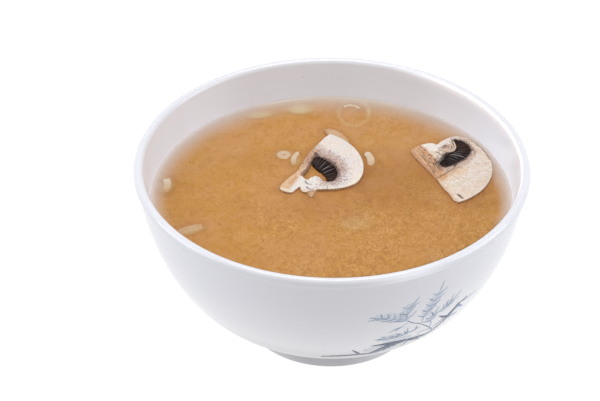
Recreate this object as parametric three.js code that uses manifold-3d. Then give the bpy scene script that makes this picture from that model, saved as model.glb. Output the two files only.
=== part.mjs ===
// A bowl of miso soup with two mushroom slices and chopped spring onion afloat in it.
// Millimetres, +Z up. The origin is the middle of the foot ring's underside, and +Y is the far side.
import * as THREE from "three";
import { mergeVertices } from "three/addons/utils/BufferGeometryUtils.js";
import Module from "manifold-3d";

const { Vector2 } = THREE;
const roundSteps = 60; // facets round the bowl and the soup
const clearance = 0.3; // kept between the soup, the bowl and what floats
const hair = 0.01;
const soupLevel = 58;
const degree = Math.PI / 180;

const bowlSize = {
  rimRadius: 75,
  height: 74,
  wall: 2.8,
  wallTop: [73.9, 70.2], // radius and height where the wall meets the bead
  bellyHandles: [[63.1, 18.1], [71.7, 49.4]], // Bezier handles of the outer wall
  beadInside: 71.3,
  beadMiddle: [73.2, 72],
  footRadius: 34.5,
  footTop: [35, 10.1],
  footRingWidth: 3.2,
  footChamfer: 0.6,
  recessRadius: 28,
  recessHeight: 5.6,
  floorHeight: 9.4, // inside, at the middle
  floorHandle: 22, // radius of the handle that flattens the inside towards the middle
};

// A slice is half of a closed cap with its stem. In its own plane u runs up the stem from the foot
// to the crown, and v outwards from the straight cut face. Outlines are [u, v].
const sliceThickness = 3.4;
const sliceRise = 1.1; // how far a slice stands out of the soup
const sliceEdge = 0.35; // rounding of a slice's edges
const gillTeeth = 17; // ends of the gill plates that show along the hollow
const gillToothDepth = 0.4;

const slices = [
  {
    name: "mushroom_centre",
    foot: [-19.5, 2.5],
    crown: [-1.5, 41.5],
    side: 1,
    tilt: [0.2, -0.8],
    cap: { middle: 17.4, width: 25.5, rise: 24, roundness: 1.85, fall: 15, marginRoundness: 2,
      from: 4, margin: 148 },
    footEdge: [[3.3, 12.9], [1.9, 11.2], [0.9, 9.6], [1.4, 7.9], [3.3, 6.6], [1.6, 6], [-1.3, 5.4],
      [-2, 2.9], [-1.3, 0.2], [0.8, -0.7]],
    cutEdge: [[3.4, -0.5], [7, -0.1], [11.6, 1], [16.1, 0.6], [25, -0.3], [33.7, 0.3], [38, 0.6]],
    gillBack: [[21, 3.3], [24.2, 3.2], [24.4, 6.2], [22.4, 11.4], [19.2, 14.8], [15.3, 16.6],
      [12.1, 16.6], [10.8, 15]],
    gillFront: [[19.4, 4.2], [17.3, 7], [15.3, 11], [13.6, 13.1], [11.6, 14]],
    veilEdge: [[10.6, 13.2], [12.2, 10.8], [12, 8.7], [10.2, 7.7], [8.6, 7.2], [9.2, 5.4], [11, 4.4],
      [16, 4.3]],
    flaps: [
      { outline: [[43.4, -2], [45, -1.2], [45.4, 0.6], [45, 3.4], [43.4, 6.6], [41, 9.8], [39.2, 11],
        [37.4, 10], [39.4, 5], [40.2, 1.4]], top: -0.6, depth: 1.6 },
      { outline: [[4, 10.6], [2, 10.4], [0.6, 11.7], [-0.6, 12.9], [0.2, 13.6], [2, 13.3], [4.4, 13.2]],
        top: -0.6, depth: 1.4 },
    ],
  },
  {
    name: "mushroom_right",
    foot: [31.3, 29.8],
    crown: [47.5, -5.2],
    side: -1,
    tilt: [-0.2, 0.3],
    cap: { middle: 11.5, width: 26.5, rise: 28.1, roundness: 2, fall: 13, marginRoundness: 4,
      from: 1, margin: 132 },
    footEdge: [[-0.9, 21.2], [-1.2, 19], [-0.8, 16.2], [0.2, 12.9], [1.3, 10.8], [0, 10.2],
      [-1, 8.3], [-1.2, 5.5], [-0.7, 3.2], [0.3, 0.5], [1.6, -0.8]],
    cutEdge: [[5.6, -0.9], [16.1, -0.5], [22, 0], [28, -0.5], [33, -0.2], [37.6, -0.5]],
    gillBack: [[14.4, 5.4], [16.5, 5.9], [16.8, 9], [15.1, 15.2], [13.2, 18.4], [9.6, 21.7],
      [5, 22], [2.2, 20.6], [1.2, 19]],
    gillFront: [[13.4, 6.8], [11.6, 9.2], [8.9, 11.4], [8.2, 14.2], [6.4, 16.6], [3.6, 17.6], [1.9, 18.2]],
    veilEdge: [],
    flaps: [],
  },
];

// Spring onion, cut across: rings and parts of rings. at is the middle of the ring, stretch makes
// it wider than it is long, turn is where the arc starts, and sink lowers the end that the soup is
// taking in.
const onionTop = 0.5; // height of the pieces above the soup
const onionEdge = 0.25; // rounding of their edges
const onionSteps = 10;
const onions = [
  { at: [-18.95, 25.6], radius: 1.7, width: 1.2, stretch: 1, turn: 0, span: 360, depth: 2.2, sink: 0 },
  { at: [-12.2, 21.5], radius: 5.05, width: 2.2, stretch: 0.57, turn: 104, span: 110, depth: 2, sink: 5 },
  { at: [12.4, 21.6], radius: 5.6, width: 2, stretch: 0.54, turn: -33, span: 98, depth: 2.2, sink: 5 },
  { at: [-72.8, 3.6], radius: 9.4, width: 3, stretch: 1, turn: -29, span: 53, depth: 2.2, sink: 4 },
  { at: [-44.6, -40.4], radius: 18.2, width: 3.2, stretch: 1, turn: 102, span: 28, depth: 2.4, sink: 0 },
  { at: [7.5, 58.3], radius: 3.7, width: 1.1, stretch: 1, turn: 22, span: 118, depth: 1.8, sink: 0 },
];

const wasm = await Module();
wasm.setup();

// A geometry's solid, for joining and cutting.
function solidOf(geometry) {
  const bare = new THREE.BufferGeometry().setAttribute("position", geometry.getAttribute("position"));
  bare.setIndex(geometry.index);
  const merged = mergeVertices(bare, 1e-4);
  return new wasm.Manifold(new wasm.Mesh({
    numProp: 3,
    vertProperties: merged.attributes.position.array,
    triVerts: new Uint32Array(merged.index.array),
  }));
}

function geometryOf(solid) {
  const { vertProperties, triVerts } = solid.getMesh();
  const geometry = new THREE.BufferGeometry();
  geometry.setAttribute("position", new THREE.BufferAttribute(vertProperties, 3));
  geometry.setIndex(new THREE.BufferAttribute(triVerts, 1));
  geometry.computeVertexNormals();
  return geometry;
}

// Surfaces of revolution about Z from a profile of radius and height that starts and ends on the axis.
function turned(profile) {
  return new THREE.LatheGeometry(profile, roundSteps).rotateX(90 * degree);
}

function arc(middle, radii, from, to, steps) {
  return Array.from({ length: steps + 1 }, (_, i) => {
    const a = (from + ((to - from) * i) / steps) * degree;
    return new Vector2(middle[0] + radii[0] * Math.cos(a), middle[1] + radii[1] * Math.sin(a));
  });
}

const outerWall = new THREE.CubicBezierCurve(
  new Vector2(...bowlSize.footTop),
  ...bowlSize.bellyHandles.map((p) => new Vector2(...p)),
  new Vector2(...bowlSize.wallTop),
);

// The inside of the bowl from the middle of its floor up to the bead, set in by some distance.
function insideWall(inset) {
  const offset = bowlSize.wall + inset;
  const steps = 10;
  const wall = outerWall.getSpacedPoints(steps).map((p, i) => {
    const along = outerWall.getTangentAt(i / steps);
    return new Vector2(p.x - along.y * offset, p.y + along.x * offset);
  });
  const floorEdge = wall.shift();
  const floor = new THREE.QuadraticBezierCurve(
    new Vector2(0, bowlSize.floorHeight + inset),
    new Vector2(bowlSize.floorHandle, bowlSize.floorHeight + inset),
    floorEdge,
  );
  return [...floor.getPoints(3), ...wall];
}

function bowlGeometry() {
  const { footRadius, footRingWidth, footChamfer, beadMiddle, beadInside, rimRadius, height } = bowlSize;
  const ringInner = footRadius - footRingWidth;
  const beadHeight = height - beadMiddle[1];
  return turned([
    new Vector2(0, bowlSize.recessHeight),
    new Vector2(bowlSize.recessRadius, bowlSize.recessHeight),
    new Vector2(ringInner - footChamfer, bowlSize.recessHeight - 1),
    new Vector2(ringInner, footChamfer),
    new Vector2(ringInner + footChamfer, 0),
    new Vector2(footRadius - footChamfer, 0),
    new Vector2(footRadius, footChamfer),
    ...outerWall.getSpacedPoints(12),
    ...arc(beadMiddle, [rimRadius - beadMiddle[0], beadHeight], -50, 90, 5),
    ...arc(beadMiddle, [beadMiddle[0] - beadInside, beadHeight], 90, 180, 3).slice(1),
    ...insideWall(0).reverse(),
  ]);
}

// The soup fills the bowl up to its level.
function soupGeometry() {
  const wall = insideWall(clearance);
  const above = wall.findIndex((p) => p.y > soupLevel);
  const [low, high] = [wall[above - 1], wall[above]];
  const edge = low.clone().lerp(high, (soupLevel - low.y) / (high.y - low.y));
  return turned([...wall.slice(0, above), edge, new Vector2(0, soupLevel)]);
}

const spline = (points, steps) =>
  new THREE.SplineCurve(points.map((p) => new Vector2(...p))).getPoints(steps);

// The cap's curved edge, a superellipse from beside the crown round to the margin.
function capEdge(cap, steps = 22) {
  return Array.from({ length: steps + 1 }, (_, i) => {
    const a = (cap.from + ((cap.margin - cap.from) * i) / steps) * degree;
    const aboveMiddle = a < Math.PI / 2;
    const power = 2 / (aboveMiddle ? cap.roundness : cap.marginRoundness);
    const height = (aboveMiddle ? cap.rise : -cap.fall) * Math.abs(Math.cos(a)) ** power;
    return new Vector2(cap.middle + height, cap.width * Math.sin(a) ** power);
  });
}

// A slice's own plane laid flat: v runs to the right of u, or to the left on the other side.
const lay = (points, side) => points.map((p) => new Vector2(side * p.y, p.x));

// A slab of an outline, with its top at height 0 and its edges rounded.
function slab(outline, depth, rounding) {
  return new THREE.ExtrudeGeometry(new THREE.Shape(outline), {
    depth: depth - 2 * rounding,
    bevelThickness: rounding,
    bevelSize: rounding,
    bevelOffset: -rounding,
    bevelSegments: 1,
    steps: 1,
  }).translate(0, 0, rounding - depth);
}

// The room round a slab: its outline grown by a distance, or shrunk, from that far below the slab
// to well above it.
function room(outline, depth, grow = clearance) {
  return new THREE.ExtrudeGeometry(new THREE.Shape(outline), {
    depth: depth + 2 * sliceThickness,
    bevelThickness: Math.abs(grow),
    bevelSize: 0,
    bevelOffset: grow,
    bevelSegments: 1,
    steps: 1,
  }).translate(0, 0, -depth);
}

// Points of a curve moved sideways, to the right of its direction, by a distance for each point.
function shifted(points, distance) {
  return points.map((p, i) => {
    const along = points[Math.min(i + 1, points.length - 1)].clone().sub(points[Math.max(i - 1, 0)]);
    return p.clone().add(new Vector2(along.y, -along.x).setLength(distance(i)));
  });
}

// The gills: a band between its back, which runs into the flesh, and its front, where the edges of
// the gill plates stand out one by one.
function gillOutline({ gillBack, gillFront }) {
  const front = shifted(spline(gillFront, 2 * gillTeeth), (i) => (i % 2) * gillToothDepth);
  return [...spline(gillBack, 22), ...front.reverse()];
}

// The opening in the flesh that holds the gills and, above a closed veil, the hollow before them.
function hollowOutline({ gillBack, gillFront, veilEdge }) {
  const front = shifted(spline(gillFront, 20).reverse(), () => 2 * clearance);
  return [...spline(gillBack, 24), ...(veilEdge.length ? spline(veilEdge, 20) : front)];
}

const skin = { roughness: 0.6, metalness: 0 };
const fleshFinish = new THREE.MeshStandardMaterial({ color: 0xe9dccd, ...skin });
const gillFinish = new THREE.MeshStandardMaterial({ color: 0x33221f, ...skin });
const onionFinish = new THREE.MeshStandardMaterial({ color: 0xe3d9b4, roughness: 0.35, metalness: 0 });
const soupFinish = new THREE.MeshStandardMaterial({ color: 0xc8935a, roughness: 0.2, metalness: 0 });
const glazeFinish = new THREE.MeshStandardMaterial({ color: 0xeeeef2, roughness: 0.15, metalness: 0 });

function named(name, geometry, material) {
  const mesh = new THREE.Mesh(geometry, material);
  mesh.name = name;
  return mesh;
}

const group = new THREE.Group();
const pockets = [];

// A plug that cuts an outline right through a slab.
const cutter = (outline) => solidOf(room(outline, 2 * sliceThickness, hair));

// Puts meshes in a group of their own at a place on the soup, with the room they need in the soup.
function float(meshes, needed, at, turn, height, tilt) {
  const raft = new THREE.Group();
  raft.position.set(at[0], at[1], soupLevel + height);
  raft.rotation.set(tilt[0] * degree, tilt[1] * degree, turn);
  raft.add(...meshes);
  group.add(raft);
  raft.updateMatrixWorld(true);
  pockets.push(needed.transform(raft.matrixWorld.elements));
}

for (const slice of slices) {
  const { foot, crown, side } = slice;
  const outline = lay([
    ...capEdge(slice.cap),
    ...spline(slice.footEdge, 30),
    ...spline(slice.cutEdge, 10),
  ], side);
  const hollow = lay(hollowOutline(slice), side);
  const band = lay(gillOutline(slice), side);
  const inHollow = solidOf(room(hollow, 2 * sliceThickness, -clearance));
  const gills = solidOf(slab(band, sliceThickness, sliceEdge / 2)).intersect(inHollow);
  let flesh = solidOf(slab(outline, sliceThickness, sliceEdge)).subtract(cutter(hollow));
  let needed = solidOf(room(outline, sliceThickness));
  if (slice.veilEdge.length) needed = needed.subtract(inHollow).add(solidOf(room(band, sliceThickness)));
  for (const flap of slice.flaps) {
    const edge = lay(spline([...flap.outline, flap.outline[0]], 16).slice(0, -1), side);
    flesh = flesh.add(solidOf(slab(edge, flap.depth, sliceEdge / 2)).translate(0, 0, flap.top));
    needed = needed.add(solidOf(room(edge, flap.depth)).translate(0, 0, flap.top));
  }
  const turn = Math.atan2(crown[1] - foot[1], crown[0] - foot[0]) - 90 * degree;
  float([
    named(slice.name, geometryOf(flesh), fleshFinish),
    named(slice.name + "_gills", geometryOf(gills), gillFinish),
  ], needed, foot, turn, sliceRise, slice.tilt);
}

onions.forEach((onion, i) => {
  const whole = onion.span === 360;
  const [outer, inner] = [1, -1].map((way) => {
    const out = (way * onion.width) / 2;
    const radii = [onion.radius * onion.stretch + out, onion.radius + out];
    return arc([0, 0], radii, onion.turn, onion.turn + onion.span, onionSteps);
  });
  const outline = whole ? outer.slice(1) : [...outer, ...inner.reverse()];
  let piece = solidOf(slab(outline, onion.depth, onionEdge));
  if (whole) piece = piece.subtract(cutter(inner.slice(1)));
  const mesh = named("spring_onion_" + (i + 1), geometryOf(piece), onionFinish);
  float([mesh], solidOf(room(outline, onion.depth)), onion.at, 0, onionTop, [onion.sink, 0]);
});

let soup = solidOf(soupGeometry());
for (const needed of pockets) soup = soup.subtract(needed);
group.add(named("soup", geometryOf(soup), soupFinish));
group.add(named("bowl", bowlGeometry(), glazeFinish));

export default group;
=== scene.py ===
import math

import bpy
import numpy as np
from mathutils import Matrix, Vector, noise
from mathutils.bvhtree import BVHTree
from mathutils.geometry import delaunay_2d_cdt


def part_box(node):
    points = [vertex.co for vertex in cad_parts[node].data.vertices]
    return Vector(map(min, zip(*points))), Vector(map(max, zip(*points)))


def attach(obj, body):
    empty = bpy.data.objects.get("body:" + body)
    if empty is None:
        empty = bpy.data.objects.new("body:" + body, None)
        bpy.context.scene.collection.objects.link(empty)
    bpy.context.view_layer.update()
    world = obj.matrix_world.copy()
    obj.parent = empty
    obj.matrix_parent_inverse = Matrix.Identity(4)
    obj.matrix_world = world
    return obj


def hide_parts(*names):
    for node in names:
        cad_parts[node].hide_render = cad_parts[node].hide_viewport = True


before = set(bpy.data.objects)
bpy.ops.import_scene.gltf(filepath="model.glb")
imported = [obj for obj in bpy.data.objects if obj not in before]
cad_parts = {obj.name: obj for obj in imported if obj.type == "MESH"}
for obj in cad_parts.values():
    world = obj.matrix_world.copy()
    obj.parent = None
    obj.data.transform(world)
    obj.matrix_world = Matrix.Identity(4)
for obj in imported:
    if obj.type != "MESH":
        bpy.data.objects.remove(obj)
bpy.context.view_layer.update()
mm = 0.001
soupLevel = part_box("soup")[1].z / mm


class Shade:
    # wraps a node's socket: sums and products on it add Math nodes, node() adds any other node

    def __init__(self, tree, socket=None):
        self.tree = tree
        self.socket = socket

    def node(self, kind, settings=None, sockets=None, output=0):
        made = self.tree.nodes.new(kind)
        for key, value in (settings or {}).items():
            if key == "stops":
                fillRamp(made.color_ramp, value)
            else:
                setattr(made, key, value)
        for key, value in (sockets or {}).items():
            if isinstance(value, Shade):
                self.tree.links.new(value.socket, made.inputs[key])
            else:
                made.inputs[key].default_value = value
        return Shade(self.tree, made.outputs[output] if made.outputs else None)

    def other(self, output):
        return Shade(self.tree, self.socket.node.outputs[output])

    def maths(self, operation, *values):
        return self.node("ShaderNodeMath", {"operation": operation}, dict(enumerate(values)))

    def __add__(self, other):
        return self.maths("ADD", self, other)

    def __sub__(self, other):
        return self.maths("SUBTRACT", self, other)

    def __rsub__(self, other):
        return self.maths("SUBTRACT", other, self)

    def __mul__(self, other):
        return self.maths("MULTIPLY", self, other)

    def __truediv__(self, other):
        return self.maths("DIVIDE", self, other)

    __radd__ = __add__
    __rmul__ = __mul__


def fillRamp(ramp, stops):
    while len(ramp.elements) < len(stops):
        ramp.elements.new(0.5)
    for element, (position, tint) in zip(ramp.elements, stops):
        element.position = position
        element.color = tint


def colour(red, green, blue):
    # a display colour, 0 to 255, as linear light
    channels = [c / 255 for c in (red, green, blue)]
    return tuple(c / 12.92 if c < 0.04 else ((c + 0.055) / 1.055) ** 2.4 for c in channels) + (1.0,)


levelLight = 1.5  # light on a level surface in the studio, as a share of plain white


def lit(red, green, blue):
    # the colour of a level surface that looks like this display colour in the studio light
    return tuple(c / levelLight for c in colour(red, green, blue)[:3]) + (1.0,)


def newMaterial(name):
    material = bpy.data.materials.new(name)
    material.use_nodes = True
    material.node_tree.nodes.clear()
    return material, Shade(material.node_tree)


def finishMaterial(shade, sockets):
    surface = shade.node("ShaderNodeBsdfPrincipled", {}, sockets)
    shade.node("ShaderNodeOutputMaterial", {}, {"Surface": surface})


def place(shade):
    return shade.node("ShaderNodeTexCoord", output=3)  # object coordinates, in metres


def stored(shade, name, vector=False):
    return shade.node("ShaderNodeAttribute", {"attribute_name": name}, output=1 if vector else 2)


def scaled(vector, factors):
    return vector.node("ShaderNodeVectorMath", {"operation": "MULTIPLY"}, {0: vector, 1: factors})


def grain(vector, scale, detail=3.0, roughness=0.5, distortion=0.0):
    sockets = {"Vector": vector, "Scale": scale, "Detail": detail, "Roughness": roughness,
               "Distortion": distortion}
    return vector.node("ShaderNodeTexNoise", {}, sockets)


def between(value, low, high, toLow=0.0, toHigh=1.0):
    # smooth step of a value from low to high
    sockets = {"Value": value, "From Min": low, "From Max": high, "To Min": toLow, "To Max": toHigh}
    return value.node("ShaderNodeMapRange", {"interpolation_type": "SMOOTHSTEP"}, sockets)


def blend(factor, first, second, way="MIX"):
    settings = {"data_type": "RGBA", "blend_type": way}
    return factor.node("ShaderNodeMix", settings, {0: factor, 6: first, 7: second}, output=2)


def layered(base, layers):
    # tones laid over a base one after another: each a mask, the tone and perhaps the way it blends
    for mask, tone, *way in layers:
        base = blend(mask, base, tone, *way)
    return base


def bumped(height, strength, distance):
    sockets = {"Height": height, "Strength": strength, "Distance": distance}
    return height.node("ShaderNodeBump", {}, sockets)


def added(name, data):
    thing = bpy.data.objects.new(name, data)
    bpy.context.scene.collection.objects.link(thing)
    return thing


def meshPiece(name, points, faces, material, attributes=None, smooth=True):
    # points in millimetres; faces are lists of point numbers
    mesh = bpy.data.meshes.new(name)
    mesh.from_pydata([tuple(p) for p in np.asarray(points, float) * mm], [], faces)
    mesh.polygons.foreach_set("use_smooth", [smooth] * len(mesh.polygons))
    for key, values in (attributes or {}).items():
        storeValues(mesh, key, values)
    mesh.materials.append(material)
    mesh.update()
    piece = added(name, mesh)
    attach(piece, "root")
    return piece


def storeValues(mesh, key, values):
    values = np.asarray(values, np.float32)
    if values.ndim == 2:
        mesh.attributes.new(key, "FLOAT_VECTOR", "POINT").data.foreach_set("vector", values.ravel())
    else:
        mesh.attributes.new(key, "FLOAT", "POINT").data.foreach_set("value", values)


def lathePoints(profile, segments):
    # rings of a profile of (radius, height); a radius of 0 is one point on the axis
    points, rings = [], []
    for radius, height in profile:
        count = 1 if radius < 1e-6 else segments
        rings.append(range(len(points), len(points) + count))
        for k in range(count):
            a = 2 * math.pi * k / segments
            points.append((radius * math.cos(a), radius * math.sin(a), height))
    return points, rings


def latheFaces(rings):
    # faces between successive rings, any of which may be one point; outward where the outside runs upwards
    faces = []
    for lower, upper in zip(rings[:-1], rings[1:]):
        count = max(len(lower), len(upper))
        for k in range(count):
            following = (k + 1) % count
            a = [lower[k], lower[following]] if len(lower) > 1 else [lower[0]]
            b = [upper[following], upper[k]] if len(upper) > 1 else [upper[0]]
            faces.append(a + b)
    return faces


def sweptFaces(count, ring, first=0):
    # outward faces of a closed sweep of equal rings, whose points run anticlockwise seen along it
    faces = []
    last = first + (count - 1) * ring
    for k in range(first, last, ring):
        for j in range(ring):
            a, b = k + j, k + (j + 1) % ring
            faces.append((a, a + ring, b + ring, b))
    return faces + [tuple(range(first, first + ring)), tuple(range(last, last + ring))[::-1]]


def smoothStep(values, low, high):
    t = np.clip((values - low) / (high - low), 0, 1)
    return t * t * (3 - 2 * t)


def spline(points, steps):
    # a smooth curve through points, evenly stepped between them
    points = np.asarray(points, float)
    count = len(points) - 1
    out = []
    for t in np.linspace(0, count, steps + 1):
        i = min(int(t), count - 1)
        w = t - i
        p0, p1, p2, p3 = (points[min(max(i + k, 0), count)] for k in (-1, 0, 1, 2))
        out.append(0.5 * (2 * p1 + (p2 - p0) * w + (2 * p0 - 5 * p1 + 4 * p2 - p3) * w * w
                          + (3 * p1 - p0 - 3 * p2 + p3) * w ** 3))
    return np.array(out)


def alongPath(path, fractions):
    # points of a path at fractions of its length
    steps = np.linalg.norm(np.diff(path, axis=0), axis=1)
    run = np.concatenate([[0], np.cumsum(steps)]) / steps.sum()
    return np.stack([np.interp(fractions, run, path[:, k]) for k in range(path.shape[1])], 1)


def pathDistance(points, path):
    # distance of each point to a path, both in the plane
    best = np.full(len(points), 1e9)
    for a, b in zip(path[:-1], path[1:]):
        along = b - a
        t = np.clip(((points - a) @ along) / max(along @ along, 1e-9), 0, 1)
        best = np.minimum(best, np.linalg.norm(points - a - t[:, None] * along, axis=1))
    return best


def turned(flat, degrees):
    # points in the plane, turned clockwise about its origin
    a = math.radians(degrees)
    return flat @ np.array([[math.cos(a), -math.sin(a)], [math.sin(a), math.cos(a)]])


def raised(flat, height=0.0):
    return np.column_stack([flat, np.full(len(flat), height)])


def roughness(points, size, seed=0.0):
    # smooth noise from -1 to 1 at points in millimetres, with features of a size
    return np.array([noise.noise(Vector(p) / size + Vector((seed, seed, seed))) for p in points])


def flatNode(node):
    # a CAD node as a tree of its faces, in millimetres
    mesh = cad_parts[node].data
    points = [v.co / mm for v in mesh.vertices]
    return BVHTree.FromPolygons(points, [tuple(p.vertices) for p in mesh.polygons])


camera = {
    "height": 459.7,  # millimetres above the table
    "back": 560.7,
    "aim": (-11.9, -5.2, 58.2),
    "roll": 0.05,  # degrees
    "lens": 107.8,
}


def makeCamera():
    data = bpy.data.cameras.new("camera")
    data.sensor_fit = "HORIZONTAL"
    data.sensor_width = 36
    data.lens = camera["lens"]
    view = added("camera", data)
    spot = Vector((0, -camera["back"], camera["height"]))
    turn = (Vector(camera["aim"]) - spot).to_track_quat("-Z", "Y").to_matrix()
    turn @= Matrix.Rotation(math.radians(camera["roll"]), 3, "Z")
    view.matrix_world = Matrix.Translation(spot * mm) @ turn.to_4x4()
    bpy.context.scene.camera = view


lamps = {  # place and size in millimetres, power in watts
    "left": {"at": (-700, -60, 420), "size": (500, 600), "power": 2.86, "tint": (0.95, 0.97, 1.06)},
    "right": {"at": (720, -40, 380), "size": (500, 600), "power": 2.86, "tint": (0.95, 0.97, 1.06)},
    "top": {"at": (0, 120, 900), "size": (700, 500), "power": 4.65, "tint": (1, 1, 1)},
}
room = {
    "light": 0.61,
    "aim": (0, 0, 40),  # where the lamps point, in millimetres
    "floorGlow": 0.985,
    "floorTone": 0.03,
    "floorHalf": 3000,
    "floorDrop": 0.05,
}


def makeLights():
    for name, lamp in lamps.items():
        data = bpy.data.lights.new(name, "AREA")
        data.shape = "RECTANGLE"
        data.size, data.size_y = (s * mm for s in lamp["size"])
        data.energy = lamp["power"]
        data.color = lamp["tint"]
        light = added(name, data)
        light.location = Vector(lamp["at"]) * mm
        light.rotation_mode = "QUATERNION"
        light.rotation_quaternion = (Vector(room["aim"]) - Vector(lamp["at"])).to_track_quat("-Z", "Y")
    world = bpy.data.worlds.new("studio")
    world.use_nodes = True
    background = world.node_tree.nodes["Background"].inputs
    background["Color"].default_value = (1, 1, 1, 1)
    background["Strength"].default_value = room["light"]
    bpy.context.scene.world = world
    bpy.context.scene.view_settings.view_transform = "Standard"


def makeFloor():
    material, shade = newMaterial("paleFloor")
    tone = room["floorTone"]
    finishMaterial(shade, {
        "Base Color": (tone, tone, tone, 1), "Roughness": 0.9, "Specular IOR Level": 0.0,
        "Emission Color": (1, 1, 1, 1), "Emission Strength": room["floorGlow"],
    })
    half, low = room["floorHalf"] * mm, -room["floorDrop"] * mm
    mesh = bpy.data.meshes.new("floor")
    corners = [(-half, -half, low), (half, -half, low), (half, half, low), (-half, half, low)]
    mesh.from_pydata(corners, [], [(0, 1, 2, 3)])
    mesh.materials.append(material)
    added("floor", mesh)


bowl = {
    "rimRadius": 75.0,
    "height": 74.0,
    "wall": 2.8,
    "wallCurve": [(35, 10.1), (63.1, 18.1), (71.7, 49.4), (73.9, 70.2)],  # Bezier, radius and height
    "bead": (73.2, 72.0),  # middle of the rolled rim
    "beadInside": 71.3,
    "foot": 34.5,
    "footInside": 31.3,
    "footChamfer": 0.6,
    "recess": (28.0, 5.6),  # radius and height of the hollow under the foot
    "recessCorner": (1.6, 1.8),
    "floor": 9.4,
    "floorHandle": 22.0,  # radius of the floor's Bezier handle
    "floorSteps": 14,
    "segments": 240,
    "wobble": 0.12,  # how far the rim is off a true circle
    # one white glaze: the tones from here to footPale are painted light and shade on it, the inside toned
    # apart from the outside
    "white": colour(209, 209, 214),
    "whiteLow": colour(221, 221, 225),  # lower down the outside, painted lighter
    "inside": colour(220, 222, 227),
    # painted shade: the lip toned darker against the strong light from above
    "lip": colour(204, 204, 208),
    "flare": colour(246, 246, 250),  # painted highlight on the inner edge of the lip at the right
    "bright": colour(236, 240, 247),  # and painted light on the wall below it
    "shoulder": colour(232, 232, 238),  # painted light on the outside of the lip, at the front right
    "lowShade": colour(100, 100, 105),  # painted shade, lowest on the outside
    "soupBounce": colour(223, 219, 222),  # painted warm light from the soup on the inside just above it
    # painted shade on the foot ring, lighter towards its sides
    "footGrey": colour(192, 192, 197),
    "footPale": colour(204, 204, 208),  # the foot ring towards its sides
    "biscuit": colour(196, 186, 172),  # the unglazed underside of the foot ring
    "biscuitPale": colour(214, 206, 194),
    "speck": colour(96, 92, 100),
    "pit": colour(150, 148, 152),
    "specks": [(47.4, 51.6, 66.5), (-48.0, -49.5, 51.0), (-36.5, -55.6, 40.0)],
    "speckSize": 0.35,
}


def wallPoint(t):
    (a, b, c, d) = (np.array(p, float) for p in bowl["wallCurve"])
    return (1 - t) ** 3 * a + 3 * (1 - t) ** 2 * t * b + 3 * (1 - t) * t * t * c + t ** 3 * d


def wallProfile(steps):
    # the outer wall from foot to bead in even steps
    dense = np.array([wallPoint(t) for t in np.linspace(0, 1, 400)])
    return alongPath(dense, np.linspace(0, 1, steps + 1))


def wallNormals(profile):
    along = np.gradient(profile, axis=0)
    along /= np.linalg.norm(along, axis=1)[:, None]
    return np.stack([along[:, 1], -along[:, 0]], 1)


def innerProfile(steps, inset=0.0):
    # the inside from the middle of the floor up to the bead
    outer = wallProfile(steps)
    wall = outer - wallNormals(outer) * (bowl["wall"] + inset)
    edge = wall[0]
    base = bowl["floor"] + inset
    t = np.linspace(0, 1, bowl["floorSteps"] + 1)[:-1, None]
    handle = np.array([bowl["floorHandle"], base])
    floor = (1 - t) ** 2 * np.array([0, base]) + 2 * t * (1 - t) * handle + t * t * edge
    return np.concatenate([floor, wall])


def arcPoints(middle, radii, degrees):
    a = np.radians(degrees)
    return np.stack([middle[0] + radii[0] * np.cos(a), middle[1] + radii[1] * np.sin(a)], 1)


def bowlProfile():
    # points from the axis under the foot, up the outside, round the bead and down the inside
    cut = bowl["footChamfer"]
    ringIn, ringOut = bowl["footInside"], bowl["foot"]
    (recess, roof), corner = bowl["recess"], bowl["recessCorner"]
    bead = bowl["bead"]
    rise = bowl["height"] - bead[1]
    beadOutside, beadInside = np.linspace(-50, 90, 11), np.linspace(90, 180, 9)[1:]
    outside = np.concatenate([
        [(0, roof), (recess * 0.5, roof), (recess, roof)],
        arcPoints((ringIn - corner[0], roof - corner[1]), corner, np.linspace(80, 0, 6)),
        arcPoints((ringIn + cut, cut), (cut, cut), np.linspace(180, 270, 5)),
        arcPoints((ringOut - cut, cut), (cut, cut), np.linspace(270, 360, 5)),
        [(ringOut, 3), (ringOut, 6), (ringOut + 0.1, 8.4), (ringOut + 0.35, 9.6)],
        wallProfile(56)[1:],
    ])
    inside = innerProfile(44)[::-1]
    points = np.concatenate([
        outside,
        arcPoints(bead, (bowl["rimRadius"] - bead[0], rise), beadOutside),
        arcPoints(bead, (bead[0] - bowl["beadInside"], rise), beadInside),
        inside,
    ])
    # for each point, degrees round the bead, and on down the inside
    turn = np.concatenate([np.full(len(outside), -90.0), beadOutside, beadInside,
                           190 + 3.0 * np.arange(len(inside))])
    return points, turn


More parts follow.
